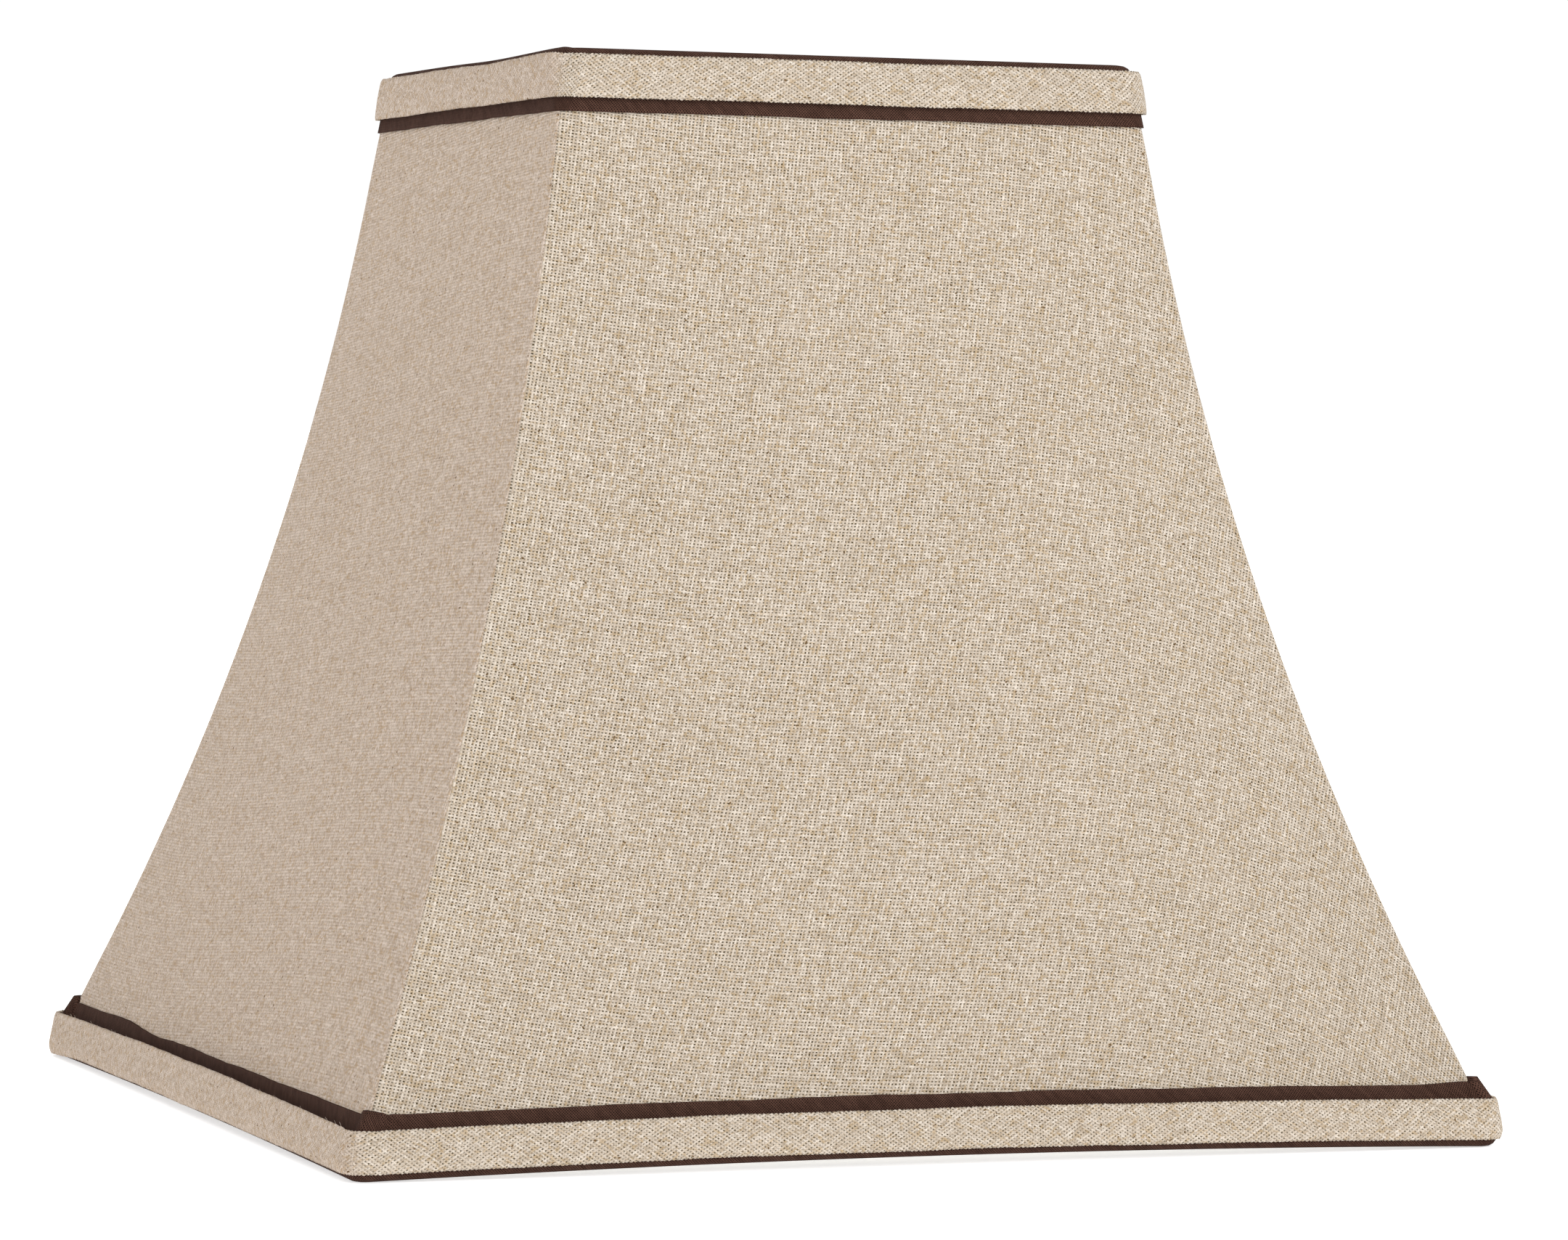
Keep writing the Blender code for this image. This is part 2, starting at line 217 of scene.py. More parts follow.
# Weave: thread spacing and the way the grain runs on each side
WARP_PITCH = 0.79 * MM
WEFT_PITCH = 0.65 * MM
FLOAT_CONTRAST = 0.14  # how much one float differs from the next, against the slow change of tone
PANEL_GAPS = (-0.88, 0.18)  # heights of the weave between which a gap turns into thread
BAND_GAPS = (-0.98, -0.08)
BAND_PITCH = 0.66 * MM
BAND_GRAIN = math.radians(34)  # the band's threads cross its length at this angle
TAPE_PITCH = 0.42 * MM
TAPE_GRAIN = math.radians(45)
LINING_PITCH = 0.35 * MM
# how much painted shade shows in the weave's gaps on each side: least on the left, which also gets a
# painted shade tint
GAP_SHADING = {"front": 0.92, "right": 0.88, "back": 0.92, "left": 0.36}
GRAINS = {  # (warp's lean at the base and at the top, weft's slope, its curve and its skew)
    "front": (0.42, 0.13, 0.04, 34.9, 202.0),
    "right": (-0.10, 0.03, 0.05, 12.0, -60.0),
    "back": (0.20, 0.05, -0.03, 20.0, 80.0),
    "left": (-0.12, -0.05, -0.09, 8.0, 0.0),
}


# Measured from the CAD


class Wall:
    """The linen's outer face: an arc from the bottom ring to the top one, hollow from outside."""

    def __init__(self):
        low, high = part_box("bottom_ring")
        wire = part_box("top_ring")[1].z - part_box("top_ring")[0].z
        self.low_level = low.z + wire / 2
        self.low_half = high.x + LINEN_OVER_RING
        low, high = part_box("top_ring")
        self.high_level = high.z - wire / 2
        self.high_half = high.x + LINEN_OVER_RING
        self.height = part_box("top_brown_tape")[1].z
        self.band_halves = (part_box("bottom_linen_band")[1].x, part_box("top_linen_band")[1].x)
        low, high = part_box("spider_arm_front")
        self.arm_level = low.z + wire / 2
        start = Vector((self.low_half, self.low_level))
        chord = Vector((self.high_half, self.high_level)) - start
        outward = Vector((chord.y, -chord.x)).normalized()
        reach = math.sqrt(FLARE_RADIUS**2 - chord.length_squared / 4)
        self.centre = start + chord / 2 + outward * reach

    def half(self, level, depth=0.0):
        """Half the shade's width at this level, at a depth inside the linen's outer face."""
        return self.centre.x - np.sqrt((FLARE_RADIUS + depth) ** 2 - (level - self.centre.y) ** 2)

    def corner_radius(self, level, half):
        """Radius of the corners of a layer this wide: wide at the rims, tight over the ribs."""
        from_rim = np.minimum(level, self.height - level) / RIM_BLEND
        blend = np.clip(1 - from_rim, 0, 1) ** 2
        radius = RIB_CORNER_RADIUS + (RIM_CORNER_RADIUS - RIB_CORNER_RADIUS) * blend
        return np.maximum(half - self.half(level) + radius, LEAST_RADIUS)

    def belly(self, level):
        """How far the middle of a side stands out at this level."""
        share = level / self.height
        return BELLY * 4 * share * (1 - share)

    def arch(self, level, side):
        """How much higher than its corners the middle of a side is at this level."""
        at_rim = FRONT_ARCH if side % 2 == 0 else SIDE_ARCH
        return at_rim * (1 - level / self.height) ** 3


class Columns:
    """Where the columns of points stand along one side, mid corner to mid corner."""

    def __init__(self, half, radius, step, seam=0.0):
        corner = math.ceil(radius * EIGHTH_TURN / min(step, CORNER_STEP))
        corner = max(HALF_CORNER_POINTS, corner)
        flat = math.ceil(2 * (half - radius) / step)
        turn = EIGHTH_TURN - seam / (2 * radius)
        bends = np.linspace(-turn, 0, corner, endpoint=False)
        self.angle = np.concatenate([bends, np.zeros(flat + 1), -bends[::-1]])
        ends = np.ones(corner)
        self.place = np.concatenate([-ends, np.linspace(-1, 1, flat + 1), ends])
        self.from_left = radius * (self.angle + EIGHTH_TURN) + (half - radius) * (1 + self.place)
        self.length = 2 * (half - radius) + 2 * radius * EIGHTH_TURN
        self.to_right = self.length - self.from_left

    def row(self, wall, half, level, side):
        """Points along a side turned to the front, where half and level may change along it."""
        radius = wall.corner_radius(level, half)
        flat = half - radius
        x = flat * self.place + radius * np.sin(self.angle)
        y = -flat - radius * np.cos(self.angle)
        y = y - wall.belly(level) * (1 - self.place**2)
        z = level + wall.arch(level, side) * (1 - (x / half) ** 2)
        return np.stack([x, y, z], axis=-1)


# Meshes


def turned(points, side):
    """Points of the front, turned about the axis to this side."""
    turn = np.array(Matrix.Rotation(2 * side * EIGHTH_TURN, 3, "Z"))
    return points @ turn.T


def grid_object(name, points, uv, gap_shading, closed):
    """A sheet through rows of points. A closed one has one column of uv more than of points.

    Gap shading, from 0 to 1, is how much painted shade shows in the gaps between the threads at each
    point.
    """
    rows, columns = points.shape[:2]
    row, left = np.meshgrid(
        np.arange(rows - 1), np.arange(columns if closed else columns - 1), indexing="ij"
    )
    right = left + 1
    corners = [(row, left), (row, right), (row + 1, right), (row + 1, left)]
    faces = np.stack([r * columns + c % columns for r, c in corners], axis=-1).reshape(-1, 4)
    mesh = bpy.data.meshes.new(name)
    mesh.from_pydata(points.reshape(-1, 3).tolist(), [], faces.tolist())
    layer = mesh.uv_layers.new(name="threads")
    per_corner = np.stack([uv[r, c] for r, c in corners], axis=-2)
    layer.data.foreach_set("uv", per_corner.astype(np.float32).ravel())
    attribute = mesh.attributes.new("gap_shading", "FLOAT", "POINT")
    spread = np.broadcast_to(gap_shading, points.shape[:2])
    attribute.data.foreach_set("value", spread.astype(np.float32).ravel())
    mesh.shade_smooth()
    obj = bpy.data.objects.new(name, mesh)
    bpy.context.scene.collection.objects.link(obj)
    return obj


def thicken(obj, thickness, offset):
    solidify = obj.modifiers.new("thickness", "SOLIDIFY")
    solidify.thickness = thickness
    solidify.offset = offset
    solidify.use_even_offset = True


def dress(obj, material, node):
    """Gives a cloth piece its material and puts it in place of its CAD piece."""
    obj.data.materials.append(material)
    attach(obj, "root")
    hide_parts(node)


# The four sides, and the lining inside them


def grain_uv(side_name, x, level, height):
    """Thread counts across a side: u over the warp threads, v over the weft."""
    lean_low, lean_high, slope, curve, skew = GRAINS[side_name]
    lean_change = (lean_high - lean_low) / (2 * height)
    u = x - lean_low * level - lean_change * level**2
    v = level + slope * x + curve * x**3 / 3 + skew * x**4 / 4
    return np.stack([u / WARP_PITCH, v / WEFT_PITCH], axis=-1)


def slack(points, side):
    """The long soft waves of cloth that isn't stretched quite evenly."""
    across, up = SLACK_LENGTHS
    lead_across, lead_up = SLACK_PHASES
    waves = np.sin(2 * math.pi * (points[..., 0] / across + side * lead_across))
    return SLACK_HEIGHT * waves * np.sin(2 * math.pi * (points[..., 2] / up + side * lead_up))


def side_grid(wall, side, depth, step):
    """Points over one side at this depth, with the slack waves dying away at the edges."""
    levels = np.linspace(
        LINEN_INSET, wall.height - LINEN_INSET, math.ceil(wall.height / step) + 1
    )
    base_half = wall.half(LINEN_INSET, depth)
    columns = Columns(base_half, wall.corner_radius(LINEN_INSET, base_half), step, SEAM_GAP)
    half = wall.half(levels, depth)[:, None] + 0 * columns.place
    points = columns.row(wall, half, levels[:, None], side)
    edge = (1 - columns.place**2) * np.sin(math.pi * levels[:, None] / wall.height)
    points[..., 1] -= slack(points, side) * edge
    return points


def make_panels(wall, material):
    for side, side_name in enumerate(SIDES):
        node = f"panel_{side_name}"
        points = side_grid(wall, side, 0.0, PANEL_STEP)
        uv = grain_uv(side_name, points[..., 0], points[..., 2], wall.height)
        gap_shading = GAP_SHADING[side_name]
        panel = grid_object(f"linen_{node}", turned(points, side), uv, gap_shading, closed=False)
        thicken(panel, LINEN_THICKNESS, -1)
        dress(panel, material, node)


def make_lining(wall, material):
    for side, side_name in enumerate(SIDES):
        node = f"lining_{side_name}"
        points = side_grid(wall, side, LINING_DEPTH, LINING_STEP)
        uv = points[..., [0, 2]] / LINING_PITCH
        lining = grid_object(f"cloth_{node}", turned(points, side), uv, 1.0, closed=False)
        thicken(lining, LINING_THICKNESS, -1)
        cut_slit(lining, wall, side)
        dress(lining, material, node)


def cut_slit(lining, wall, side):
    """A slot through the lining where its spider arm passes."""
    middle = Vector((0, -wall.half(wall.arm_level, LINING_DEPTH), wall.arm_level + SLIT_RISE))
    turn = Matrix.Rotation(2 * side * EIGHTH_TURN, 4, "Z")
    bpy.ops.mesh.primitive_cube_add(size=1)
    cutter = bpy.context.active_object
    cutter.data.transform(turn @ Matrix.Translation(middle) @ Matrix.Diagonal((*SLIT_SIZE, 1)))
    slit = lining.modifiers.new("slit", "BOOLEAN")
    slit.object = cutter
    bake_modifiers(lining)
    bpy.data.objects.remove(cutter)


def bake_modifiers(obj):
    """Makes the mesh what its modifiers show."""
    shown = obj.evaluated_get(bpy.context.evaluated_depsgraph_get())
    obj.data = bpy.data.meshes.new_from_object(shown)
    obj.modifiers.clear()


# Tape and bands


def bias_uv(along, across, pitch, grain):
    """Thread counts on a strip whose threads cross its length at plus and minus this angle."""
    run = along * math.sin(grain)
    rise = across * math.cos(grain)
    return np.stack([(run + rise) / pitch, (run - rise) / pitch], axis=-1)


def bump(distance, middle, width):
    """A smooth rise that is 1 at the middle and dies away over the width."""
    return np.exp(-(((distance - middle) / width) ** 2))


def fold_lift(corner, distance):
    """How much higher the tape's edge is near a corner."""
    fold = CORNER_FOLDS[corner]
    (start, start_ramp), (end, end_ramp) = fold["from"], fold["to"]
    rise = (1 + np.tanh((distance / MM - start) / start_ramp)) / 2
    fall = (1 - np.tanh((distance / MM - end) / end_ramp)) / 2
    tip = fold["tip"] * MM * bump(distance, fold["ear"][1] * MM + TIP_OFFSET, TIP_WIDTH)
    notch = NOTCH_HEIGHT * bump(distance, fold["tuck"] * MM, TUCK_WIDTH)
    return fold["lift"] * MM * rise * fall + tip - notch


def fold_ear(corner, distance):
    """How far the tape stands off the linen near a corner."""
    fold = CORNER_FOLDS[corner]
    height, middle = fold["ear"]
    tuck = fold["tuck"] * MM
    ear = height * MM * bump(distance, middle * MM, EAR_WIDTH)
    groove = TUCK_DEPTH * bump(distance, tuck, TUCK_WIDTH)
    pleats = PLEAT_HEIGHT * np.sin(distance * 2 * math.pi / PLEAT_LENGTH)
    return ear - groove + pleats * bump(distance, tuck + 2 * TUCK_WIDTH, 4 * TUCK_WIDTH)


def along_corners(function, columns, side):
    """A corner feature's effect along a side, from the corners at its two ends."""
    left = function(side, columns.from_left)
    return left + function((side + 1) % len(SIDES), -columns.to_right)


def tape_reach(at_top):
    """How far the tape's outer edge is from the rim, before it wanders."""
    return TOP_TAPE_REACH if at_top else BOTTOM_TAPE_REACH


def tape_edge(at_top, columns, side):
    """How far the tape's outer edge is from the rim along a side."""
    edge = tape_reach(at_top) + edge_wander(columns, side, TAPE_WANDER, TAPE_WANDER_LENGTHS)
    if at_top:
        return edge
    if SIDES[side] == "left":
        for place, width, height in LEFT_TAPE_WAVES:
            edge = edge + height * bump(columns.from_left, place, width)
    return edge + along_corners(fold_lift, columns, side) - left_spread(columns, side)


def tape_ear(at_top, columns, side):
    """How far the tape's outer leg stands off along a side."""
    ear = TAPE_EASE + 0 * columns.place
    return ear if at_top else ear + along_corners(fold_ear, columns, side)


def tape_rows(wall, at_top, columns, side):
    """(half, level) along a side for each row of the tape, from its outer edge to its inner."""
    edge = tape_edge(at_top, columns, side)
    ear = tape_ear(at_top, columns, side)

    def level_of(distance):
        return wall.height - distance if at_top else distance

    rows = [(wall.half(level_of(edge), TAPE_EDGE_DEPTH), edge)]
    for share in TAPE_LEG_SHARES:
        distance = EAR_ROOT + (edge - EAR_ROOT) * share
        stand_off = ear * (1 - EAR_LEAN * share)
        rows.append((wall.half(level_of(distance), TAPE_DEPTH) + stand_off, distance))
    for distance, share in TAPE_UNDER_BAND:
        rows.append((wall.half(level_of(distance), TAPE_DEPTH) + ear * share, distance))
    wave = top_wave(columns, side) if at_top else 0.0
    ring_level = wall.high_level if at_top else wall.low_level
    ring_inset = wall.height - ring_level if at_top else ring_level
    spread = (TAPE_INNER_DEPTH - TAPE_DEPTH) / 2
    fold_half = wall.half(ring_level, TAPE_DEPTH + spread)
    for angle in np.linspace(0, math.pi, TAPE_FOLD_STEPS + 1)[1:-1]:
        distance = ring_inset - (TAPE_DROP + wave) * math.sin(angle)
        rows.append((fold_half + spread * math.cos(angle), distance))
    for distance in TAPE_INNER_LEG:
        rows.append((wall.half(level_of(distance), TAPE_INNER_DEPTH), distance))
    if not at_top:
        rows.reverse()
    return [(half, level_of(distance)) for half, distance in rows]


def left_spread(columns, side):
    """How far the bottom trim's edges stray along the left side: nil at its corners."""
    share = 1.0 if SIDES[side] == "left" else 0.0
    return share * LEFT_SPREAD * np.sin(math.pi * columns.from_left / columns.length)


def top_wave(columns, side):
    """How much the top rim's edge rises along the left side."""
    if SIDES[side] != "left":
        return 0 * columns.place
    rise = sum(h * bump(columns.to_right, place, width) for place, width, h in TOP_LEFT_WAVES)
    return rise * np.tanh(columns.to_right / TOP_WAVE_FADE)


def edge_wander(columns, side, height, lengths):
    """Small slow wander of a hand-laid edge along a side, nil at the corners."""
    wave = 0 * columns.place
    by_side, by_length = WANDER_PHASES
    for index, length in enumerate(lengths):
        phase = by_side * side + by_length * index
        wave = wave + np.sin(2 * math.pi * columns.from_left / length + phase) / (index + 1)
    return height * wave * np.sin(math.pi * columns.from_left / columns.length)


def swept_object(name, wall, columns, rows_of_side, pitch, grain):
    """A strip right round the shade, from rows of (half, level) on each of its sides."""
    strips = []
    for side in range(len(SIDES)):
        rows = rows_of_side(side)
        points = np.stack([columns.row(wall, half, level, side) for half, level in rows])
        strips.append(turned(points, side)[:, :-1])
    points = np.concatenate(strips, axis=1)
    around = [columns.from_left[:-1] + side * columns.length for side in range(len(SIDES))]
    along = np.append(np.concatenate(around), len(SIDES) * columns.length)
    steps = np.linalg.norm(np.diff(points, axis=0), axis=2).mean(axis=1)
    across = np.append(0, np.cumsum(steps))
    uv = bias_uv(along[None, :], across[:, None], pitch, grain)
    return grid_object(name, points, uv, gap_shading_round(len(columns.place) - 1), closed=True)


def gap_shading_round(count):
    """A strip's gap shading right round, at so many columns a side, blended at the corners."""
    gap_shading = np.concatenate([np.full(count, GAP_SHADING[side_name]) for side_name in SIDES])
    wrapped = np.concatenate([gap_shading[-GAP_SHADING_BLEND:], gap_shading, gap_shading[:GAP_SHADING_BLEND]])
    window = np.ones(GAP_SHADING_BLEND) / GAP_SHADING_BLEND
    return np.convolve(wrapped, window, mode="same")[GAP_SHADING_BLEND:-GAP_SHADING_BLEND]


def make_tape(wall, at_top, material):
    node = "top_brown_tape" if at_top else "bottom_brown_tape"
    level = wall.high_level if at_top else wall.low_level
    half = wall.half(level, TAPE_DEPTH)
    columns = Columns(half, wall.corner_radius(level, half), TRIM_STEP)
    tape = swept_object(
        f"folded_{node}",
        wall,
        columns,
        lambda side: tape_rows(wall, at_top, columns, side),
        TAPE_PITCH,
        TAPE_GRAIN,
    )
    thicken(tape, TAPE_THICKNESS, 0)
    dress(tape, material, node)


def scallops(columns, rng):
    """The bumps of the cut threads along a band's edge."""
    count = len(columns.place)
    ragged = np.array([rng.gauss(0, 1) for _ in range(count)])
    ragged = np.convolve(ragged, np.ones(RAGGED_RUN) / RAGGED_RUN, mode="same")
    wave = np.abs(np.sin(math.pi * columns.from_left / SCALLOP_LENGTH))
    return SCALLOP_HEIGHT * (2 * wave - 1 + RAGGEDNESS * ragged)


def band_hang(corner, distance):
    """How far the bottom band hangs down near a corner: it does so at the back left only."""
    share = 1.0 if corner == SIDES.index("left") else 0.0
    return share * BAND_HANG * bump(distance, 0.0, BAND_HANG_WIDTH)


def band_shift(at_top, columns, side):
    """A function that gives how far the band's line at this distance from the rim strays from it."""
    wander = edge_wander(columns, side, BAND_WANDER, BAND_WANDER_LENGTHS)
    hang = along_corners(band_hang, columns, side)
    spread = left_spread(columns, side)
    wave = top_wave(columns, side)

    def shift_at(distance):
        upper = min(1.0, distance / BAND_REACH)
        if at_top:
            return wander - wave * (1 - upper)
        return wander + upper * spread - (1 - upper) * (hang + spread)

    return shift_at


def band_rows(wall, at_top, columns, side, rng):
    """(half, level) along a side for each row of the band, whose two edges are scalloped."""
    profile = TOP_BAND_ROWS if at_top else BOTTOM_BAND_ROWS
    widest = wall.band_halves[1 if at_top else 0] - BAND_THICKNESS / 2
    first = scallops(columns, rng)
    last = scallops(columns, rng)
    outward = -1 if at_top else 1
    corner = along_corners(lambda _, at: bump(at, 0.0, CORNER_OUT_WIDTH), columns, side)
    shift_at = band_shift(at_top, columns, side)
    rows = []
    for index, (distance, inset) in enumerate(profile):
        shift = shift_at(distance)
        if index == 0:
            shift = shift + outward * first
        if index == len(profile) - 1:
            shift = shift - outward * last
        push = np.clip((distance - CORNER_OUT_START) / CORNER_OUT_RISE, 0, 1)
        out = 0.0 if at_top else CORNER_OUT * push
        rows.append((widest - inset * MM + out * corner, distance * MM + shift))
    if at_top:
        rows = [(half, wall.height - distance) for half, distance in rows]
    return rows[::-1]


def make_band(wall, at_top, material, rng):
    node = "top_linen_band" if at_top else "bottom_linen_band"
    level = wall.high_level if at_top else wall.low_level
    half = wall.band_halves[1 if at_top else 0]
    columns = Columns(half, wall.corner_radius(level, half), TRIM_STEP)
    band = swept_object(
        f"bias_{node}",
        wall,
        columns,
        lambda side: band_rows(wall, at_top, columns, side, rng),
        BAND_PITCH,
        BAND_GRAIN,
    )
    thicken(band, BAND_THICKNESS, 0)
    dress(band, material, node)


# Stray fibres


def make_fibres(wall, material, rng):
    """Loose ends of thread along the bottom band's upper edge, by far the most on the left."""
    curve = bpy.data.curves.new("band_fibres", "CURVE")
    curve.dimensions = "3D"
    curve.bevel_depth = FIBRE_RADIUS
    curve.bevel_resolution = 1
    curve.materials.append(material)
    level = BOTTOM_BAND_ROWS[0][0] * MM
    out = wall.band_halves[0] - BOTTOM_BAND_ROWS[0][1] * MM - BAND_THICKNESS / 2
    for side, count in enumerate(FIBRE_COUNTS):
        for _ in range(count):
            along = out * rng.uniform(*FIBRE_SPREAD)
            add_fibre(curve, Vector((along, -out, level)), side, rng)
    fibres = bpy.data.objects.new("band_fibres", curve)
    bpy.context.scene.collection.objects.link(fibres)
    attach(fibres, "root")


def add_fibre(curve, root, side, rng):
    """A short bent thread end, rising from the band's edge."""
    turn = Matrix.Rotation(2 * side * EIGHTH_TURN, 3, "Z")
    length = rng.uniform(*FIBRE_LENGTHS)
    lean = rng.uniform(-FIBRE_LEAN, FIBRE_LEAN)
    curl = rng.uniform(-FIBRE_CURL, FIBRE_CURL)
    spline = curve.splines.new("POLY")
    spline.points.add(FIBRE_POINTS - 1)
    for index, place in enumerate(spline.points):
        share = index / (FIBRE_POINTS - 1)
        angle = lean + curl * share
        offset = Vector((math.sin(angle), -FIBRE_OUTWARD * share, math.cos(angle)))
        place.co = (*(turn @ (root + offset * length * share)), 1.0)
        place.radius = 1 - FIBRE_TAPER * share


# Materials

# How high each material's bumps stand
RELIEFS = {"linen": 0.14 * MM, "tape": 0.09 * MM, "lining": 0.03 * MM, "wire": 0.02 * MM}

# Red, green, blue and alpha, linear
COLOURS = {
    "linen dark": (0.395, 0.315, 0.23, 1),
    "linen light": (0.66, 0.585, 0.50, 1),
    "linen slub": (0.40, 0.27, 0.125, 1),
    "linen fleck": (0.15, 0.09, 0.04, 1),
    # painted shade in the gaps between the linen's threads
    "linen gap shade": (0.065, 0.047, 0.02, 1),
    # painted shade for the threads of the left side
    "left side painted shade": (0.94, 0.89, 0.885, 1),
    "tape dark": (0.056, 0.027, 0.019, 1),
    "tape light": (0.102, 0.052, 0.037, 1),
    "tape dust": (0.15, 0.08, 0.058, 1),
    # painted shade in the hollows of the tape's weave
    "tape hollow shade": (0.012, 0.006, 0.005, 1),
    "lining dark": (0.70, 0.66, 0.58, 1),
    "lining light": (0.80, 0.77, 0.70, 1),
    "nickel": (0.60, 0.57, 0.52, 1),
    "floor dark": (0.86, 0.86, 0.86, 1),
    "floor light": (0.88, 0.88, 0.88, 1),
}


class Graph:
    """Builds a material's nodes, one short call for each."""

    def __init__(self, name):
        self.material = bpy.data.materials.new(name)
        self.material.use_nodes = True
        self.tree = self.material.node_tree
        self.shader = self.tree.nodes["Principled BSDF"]

    def put(self, socket, value):
        if isinstance(value, bpy.types.NodeSocket):
            self.tree.links.new(value, socket)
        else:
            socket.default_value = value

    def add(self, kind, **settings):
        node = self.tree.nodes.new(kind)
        for name, value in settings.items():
            setattr(node, name, value)
        return node

    def math(self, operation, *values, clamp=False):
        node = self.add("ShaderNodeMath", operation=operation, use_clamp=clamp)
        for socket, value in zip(node.inputs, values):
            self.put(socket, value)
        return node.outputs["Value"]

    def threads(self):
        """The two thread counts that the sheet's mesh carries."""
        node = self.add("ShaderNodeUVMap", uv_map="threads")
        parts = self.add("ShaderNodeSeparateXYZ")
        self.put(parts.inputs["Vector"], node.outputs["UV"])
        return parts.outputs["X"], parts.outputs["Y"]

    def gap_shading(self):
        """How much painted shade shows in the weave's gaps, from 0 to 1, as the sheet's mesh says."""
        return self.add("ShaderNodeAttribute", attribute_name="gap_shading").outputs["Fac"]

    def vector(self, x, y, z=0.0):
        node = self.add("ShaderNodeCombineXYZ")
        for socket, value in zip(node.inputs, (x, y, z)):
            self.put(socket, value)
        return node.outputs["Vector"]

    def noise(self, vector, scale, detail=2.0):
        node = self.add("ShaderNodeTexNoise")
        self.put(node.inputs["Vector"], vector)
        self.put(node.inputs["Scale"], scale)
        self.put(node.inputs["Detail"], detail)
        return node.outputs["Fac"]

    def cell_noise(self, u, v):
        """A random value for each whole-number cell of the two counts."""
        cell = self.vector(self.math("FLOOR", u), self.math("FLOOR", v))
        node = self.add("ShaderNodeTexWhiteNoise", noise_dimensions="3D")
        self.put(node.inputs["Vector"], cell)
        return node.outputs["Value"]

    def streaks(self, u, v, across, along, layer, detail=2.0):
        """Noise drawn out along the threads: across and along are its scales for each thread."""
        stretched = self.vector(
            self.math("MULTIPLY", u, across), self.math("MULTIPLY", v, along), layer
        )
        return self.noise(stretched, 1.0, detail)

    def range(self, value, from_low, from_high, to_low=0.0, to_high=1.0, smooth=False):
        node = self.add("ShaderNodeMapRange")
        if smooth:
            node.interpolation_type = "SMOOTHSTEP"
        for name, setting in (
            ("Value", value),
            ("From Min", from_low),
            ("From Max", from_high),
            ("To Min", to_low),
            ("To Max", to_high),
        ):
            self.put(node.inputs[name], setting)
        return node.outputs["Result"]

    def blend(self, factor, first, second):
        node = self.add("ShaderNodeMix", data_type="FLOAT")
        for index, value in ((0, factor), (2, first), (3, second)):
            self.put(node.inputs[index], value)
        return node.outputs[0]

    def mix(self, factor, first, second, blend="MIX"):
        node = self.add("ShaderNodeMix", data_type="RGBA", blend_type=blend)
        self.put(node.inputs[0], factor)
        self.put(node.inputs[6], first)
        self.put(node.inputs[7], second)
        return node.outputs[2]

    def bump(self, height, distance, strength=1.0):
        node = self.add("ShaderNodeBump")
        self.put(node.inputs["Height"], height)
        self.put(node.inputs["Distance"], distance)
        self.put(node.inputs["Strength"], strength)
        self.put(self.shader.inputs["Normal"], node.outputs["Normal"])

    def finish(self, **values):
        for name, value in values.items():
            self.put(self.shader.inputs[name.replace("_", " ")], value)
        return self.material


def plain_weave(graph, u, v, wander, crossing=0.45):
    """A plain weave's height, the warp's share, and a random value for each hole and each float.

    The height runs from -1 in the holes to about 1 on the threads. A float is the stretch of one
    thread that shows where it passes over another. Wander says how far threads stray from straight,
    in threads, and crossing how much a thread rises and sinks as it passes over and under.
    """
    shift_u = graph.math("SUBTRACT", graph.streaks(u, v, 0.5, 0.06, 1.5), 0.5)
    shift_v = graph.math("SUBTRACT", graph.streaks(u, v, 0.06, 0.5, 7.5), 0.5)
    u = graph.math("MULTIPLY_ADD", shift_u, wander, u)
    v = graph.math("MULTIPLY_ADD", shift_v, wander, v)
    warp = graph.math("COSINE", graph.math("MULTIPLY", u, 2 * math.pi))
    weft = graph.math("COSINE", graph.math("MULTIPLY", v, 2 * math.pi))
    over = graph.math(
        "MULTIPLY",
        graph.math("COSINE", graph.math("MULTIPLY", u, math.pi)),
        graph.math("COSINE", graph.math("MULTIPLY", v, math.pi)),
    )
    warp = graph.math("MULTIPLY_ADD", over, crossing, warp)
    weft = graph.math("MULTIPLY_ADD", over, -crossing, weft)
    height = graph.math("SMOOTH_MAX", warp, weft, 0.25)
    share = graph.range(graph.math("SUBTRACT", warp, weft), -0.3, 0.3)
    hole_luck = graph.cell_noise(u, v)
    float_luck = graph.cell_noise(graph.math("ADD", u, 0.5), graph.math("ADD", v, 0.5))
    return height, share, hole_luck, float_luck


def linen_gaps(graph, u, v, height, luck, gaps):
    """How much painted shade shows in the gaps between the threads: it varies slowly and from gap to
    gap.
    """
    clouds = graph.range(graph.noise(graph.vector(u, v), 0.055, 3.0), 0.35, 0.65, -0.06, 0.06)
    knots = graph.range(graph.noise(graph.vector(u, v, 6.0), 1.0, 1.0), 0.3, 0.7, -0.4, 0.4)
    uneven = graph.math("ADD", clouds, knots)
    solid = graph.range(graph.math("SUBTRACT", height, uneven), *gaps, smooth=True)
    painted_gap_shade = graph.math("MULTIPLY", graph.math("SUBTRACT", 1.0, solid), graph.gap_shading())
    return graph.math("MULTIPLY", painted_gap_shade, graph.range(luck, 0.0, 1.0, 0.7, 1.3))


